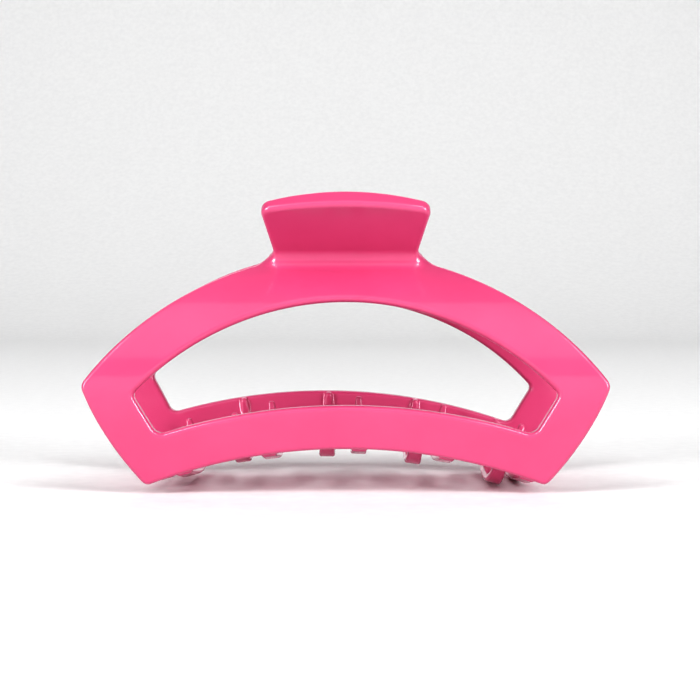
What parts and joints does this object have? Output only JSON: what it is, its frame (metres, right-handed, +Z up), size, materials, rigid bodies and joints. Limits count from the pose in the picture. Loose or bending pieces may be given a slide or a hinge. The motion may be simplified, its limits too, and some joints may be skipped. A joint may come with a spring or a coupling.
{
  "type": "claw clip",
  "caption": "Large glossy hair claw clip: two arched open-frame jaws with hooked teeth and flared thumb tabs, hinged on a steel pin and closed by a torsion spring.",
  "frame": {"origin": "centre of the box that holds the closed clip, at its lowest point, the underside of the teeth", "axes": "+X along the hinge pin, the clip's long way; +Z up towards the thumb tabs; the front jaw lies towards -Y"},
  "size_m": [0.1167, 0.0494, 0.0675],
  "materials": {
    "jaw_plastic": "high gloss moulded",
    "pin_steel": "drawn wire, plated",
    "spring_steel": "drawn spring wire"
  },
  "bodies": {
    "front": {"front_jaw": "jaw_plastic", "hinge_pin": "pin_steel", "torsion_spring": "spring_steel"},
    "back": {"back_jaw": "jaw_plastic"}
  },
  "joints": [
    {"name": "jaw_opening", "type": "hinge", "parent": "front", "child": "back", "pos_m": [0, 0, 0.05269], "axis": [1, 0, 0], "range_deg": [0, 90], "stiffness_Nm_per_rad": 0.1, "springref_deg": -85.94, "deforming": ["torsion_spring"]}
  ]
}
